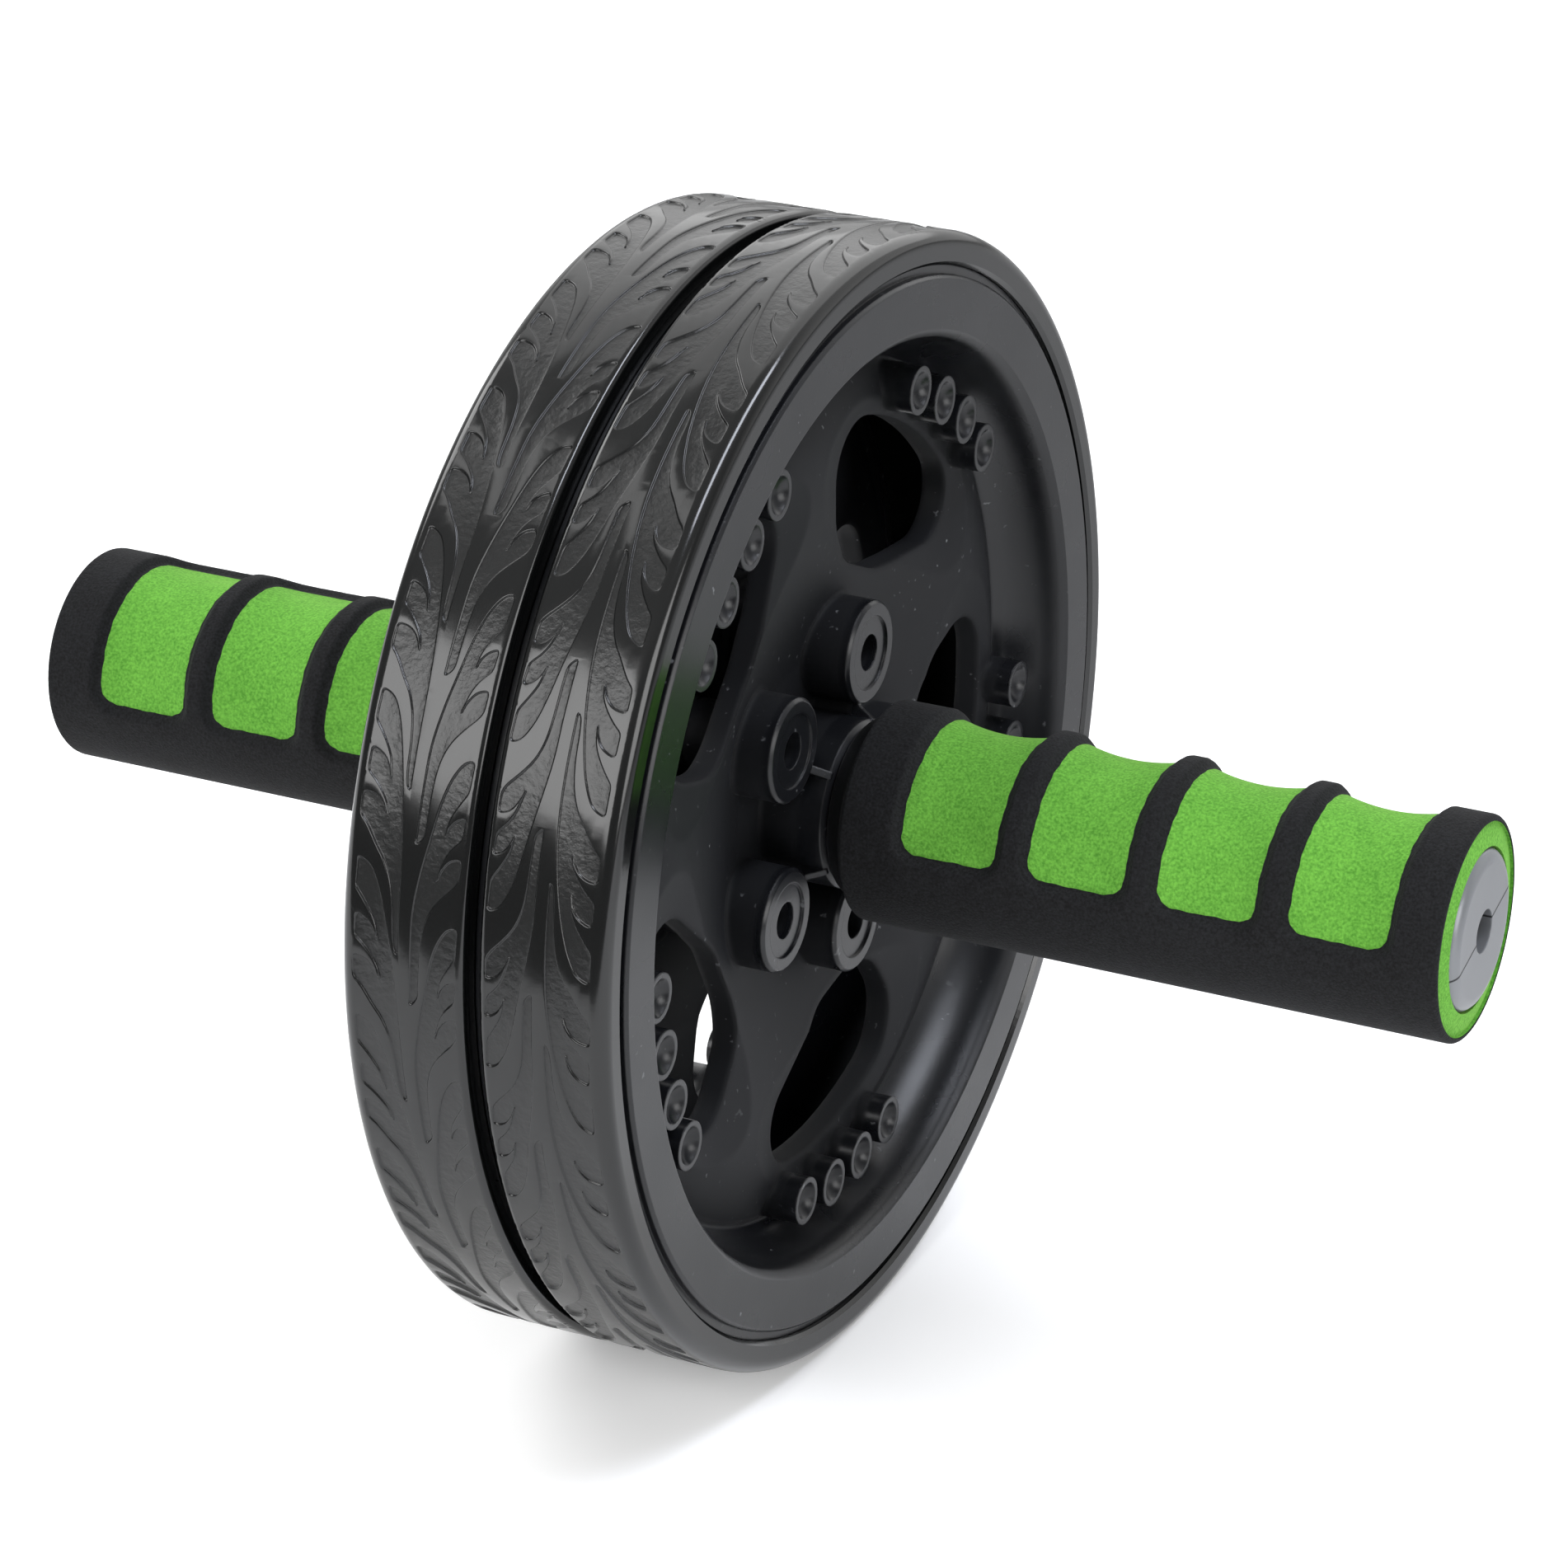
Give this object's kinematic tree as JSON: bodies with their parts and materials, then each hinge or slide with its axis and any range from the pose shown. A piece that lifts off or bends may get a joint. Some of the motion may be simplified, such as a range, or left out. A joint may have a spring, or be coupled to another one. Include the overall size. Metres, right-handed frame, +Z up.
{
  "type": "ab wheel roller",
  "caption": "Exercise roller: a wide spoked wheel with twin treaded tyres, free on an axle between two foam-covered handles with finger grooves.",
  "frame": {"origin": "centre of the wheel, on the axle's axis, midway between the two wheel halves", "axes": "+X along the axle towards the right handle, +Z up"},
  "size_m": [0.2496, 0.185, 0.185],
  "materials": {
    "wheel_plastic": "moulded satin black",
    "tyre_rubber": "moulded glossy black",
    "screw_steel": "zinc plated",
    "bush_nylon": "natural nylon",
    "axle_steel": "drawn bar",
    "washer_steel": "stamped",
    "collar_plastic": "moulded satin black",
    "core_plastic": "moulded satin grey",
    "pin_steel": "rolled spring pin",
    "foam_green": "open-cell green foam",
    "foam_black": "open-cell black foam"
  },
  "bodies": {
    "handlebar": {"axle": "axle_steel", "right_thrust_washer": "washer_steel", "right_collar": "collar_plastic", "right_core_upper": "core_plastic", "right_core_lower": "core_plastic", "right_core_pin": "pin_steel", "right_grip_foam": "foam_green", "right_grip_skin": "foam_black", "left_thrust_washer": "washer_steel", "left_collar": "collar_plastic", "left_core_upper": "core_plastic", "left_core_lower": "core_plastic", "left_core_pin": "pin_steel", "left_grip_foam": "foam_green", "left_grip_skin": "foam_black"},
    "wheel": {"right_wheel_half": "wheel_plastic", "left_wheel_half": "wheel_plastic", "right_tyre": "tyre_rubber", "left_tyre": "tyre_rubber", "wheel_screws": "screw_steel", "right_hub_bush": "bush_nylon", "left_hub_bush": "bush_nylon"}
  },
  "joints": [
    {"name": "wheel_spin", "type": "hinge", "parent": "handlebar", "child": "wheel", "pos_m": [0, 0, 0], "axis": [1, 0, 0], "continuous": true}
  ]
}
